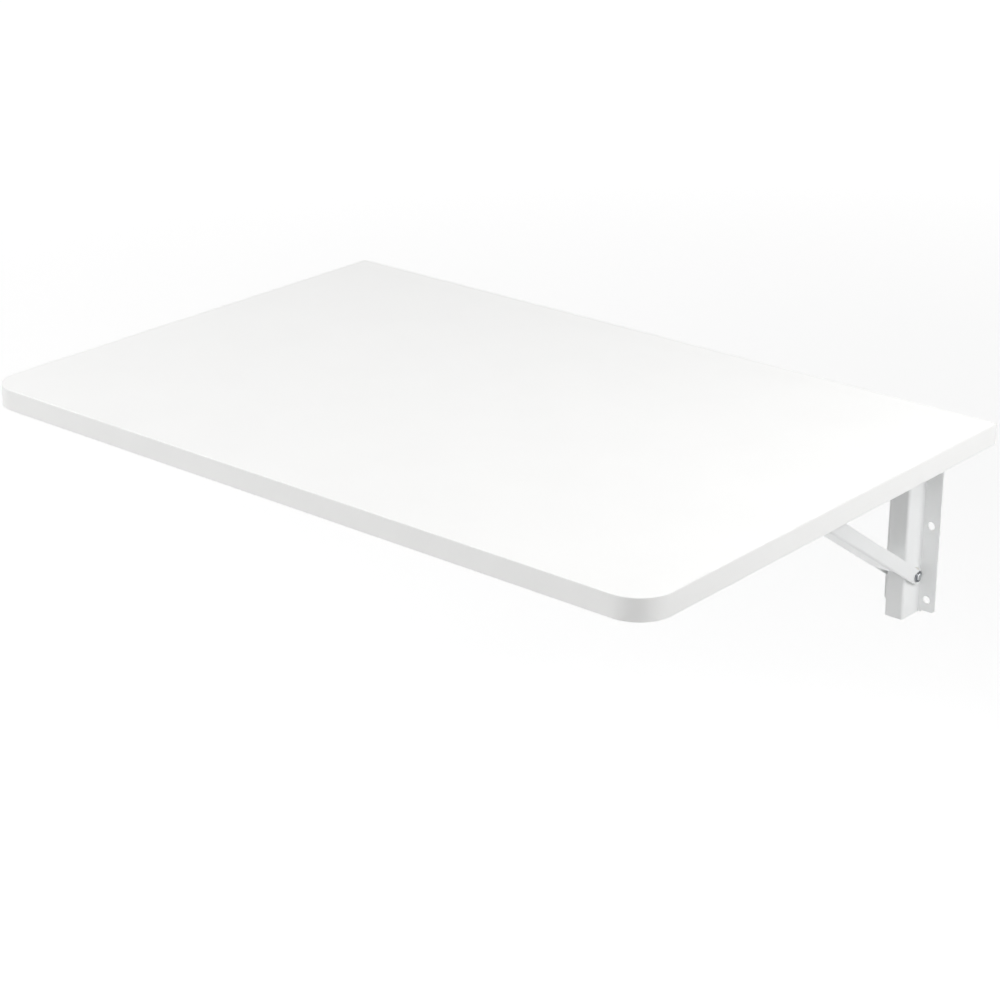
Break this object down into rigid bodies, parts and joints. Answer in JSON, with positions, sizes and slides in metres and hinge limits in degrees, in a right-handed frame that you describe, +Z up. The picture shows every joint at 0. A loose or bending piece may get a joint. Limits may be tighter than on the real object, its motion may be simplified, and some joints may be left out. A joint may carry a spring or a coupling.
{
  "type": "wall mounted drop leaf table",
  "caption": "White rectangular drop leaf table on folding wall brackets, each a wall channel, hinged rail and sliding support arm with a release lever.",
  "frame": {"origin": "in the wall plane, at the level of the open board's top, midway between its sides", "axes": "+X to the right along the wall as seen from the room, +Y into the wall, +Z up; the open board stands out along -Y"},
  "size_m": [0.6, 0.401, 0.1585],
  "materials": {
    "board_core": "white melamine faced particle board, fine satin grain",
    "edge_band": "white edge strip, satin",
    "bracket_paint": "white powder coat on cold rolled steel sheet, satin",
    "zinc_steel": "bright zinc plated steel",
    "spring_steel": "bare spring steel, wire and strip",
    "bush_plastic": "natural acetal"
  },
  "bodies": {
    "wall": {"right_wall_channel": "bracket_paint", "right_hinge_pin": "zinc_steel", "right_hinge_spacers": "bush_plastic", "right_arm_pivot": "zinc_steel", "right_retaining_ring": "spring_steel", "right_arm_washers": "bush_plastic", "left_wall_channel": "bracket_paint", "left_hinge_pin": "zinc_steel", "left_hinge_spacers": "bush_plastic", "left_arm_pivot": "zinc_steel", "left_retaining_ring": "spring_steel", "left_arm_washers": "bush_plastic"},
    "table": {"table_board": "board_core", "front_edge_band": "edge_band", "rear_edge_band": "edge_band", "right_top_rail": "bracket_paint", "right_lever_rivet": "zinc_steel", "right_lever_spring": "spring_steel", "right_board_screws": "zinc_steel", "left_top_rail": "bracket_paint", "left_lever_rivet": "zinc_steel", "left_lever_spring": "spring_steel", "left_board_screws": "zinc_steel"},
    "right_arm": {"right_support_arm": "bracket_paint", "right_slide_pin": "zinc_steel"},
    "right_slide": {"right_slide_bushes": "bush_plastic"},
    "right_lever": {"right_release_lever": "bracket_paint"},
    "left_arm": {"left_support_arm": "bracket_paint", "left_slide_pin": "zinc_steel"},
    "left_slide": {"left_slide_bushes": "bush_plastic"},
    "left_lever": {"left_release_lever": "bracket_paint"}
  },
  "joints": [
    {"name": "table_fold", "type": "hinge", "parent": "wall", "child": "table", "pos_m": [0, -0.0125, -0.036], "axis": [1, 0, 0], "range_deg": [0, 90]},
    {"name": "right_arm_swing", "type": "hinge", "parent": "wall", "child": "right_arm", "pos_m": [0.2395, -0.0095, -0.1275], "axis": [1, 0, 0], "range_deg": [0, 122.4]},
    {"name": "right_bush_slide", "type": "slide", "parent": "table", "child": "right_slide", "axis": [0, -1, 0], "range_m": [0, 0.1232]},
    {"name": "right_release", "type": "hinge", "parent": "table", "child": "right_lever", "pos_m": [0.22145, -0.1796, -0.023], "axis": [1, 0, 0], "range_deg": [0, 20], "stiffness_Nm_per_rad": 0.12, "springref_deg": -28.65},
    {"name": "left_arm_swing", "type": "hinge", "parent": "wall", "child": "left_arm", "pos_m": [-0.2395, -0.0095, -0.1275], "axis": [1, 0, 0], "range_deg": [0, 122.4]},
    {"name": "left_bush_slide", "type": "slide", "parent": "table", "child": "left_slide", "axis": [0, -1, 0], "range_m": [0, 0.1232]},
    {"name": "left_release", "type": "hinge", "parent": "table", "child": "left_lever", "pos_m": [-0.22145, -0.1796, -0.023], "axis": [1, 0, 0], "range_deg": [0, 20], "stiffness_Nm_per_rad": 0.12, "springref_deg": -28.65}
  ],
  "couplings": [
    {"joint": "right_arm_swing", "follows": "table_fold", "ratio": 1.3598},
    {"joint": "right_bush_slide", "follows": "table_fold", "m_per_rad": 0.078368},
    {"joint": "left_arm_swing", "follows": "table_fold", "ratio": 1.3598},
    {"joint": "left_bush_slide", "follows": "table_fold", "m_per_rad": 0.078368}
  ]
}
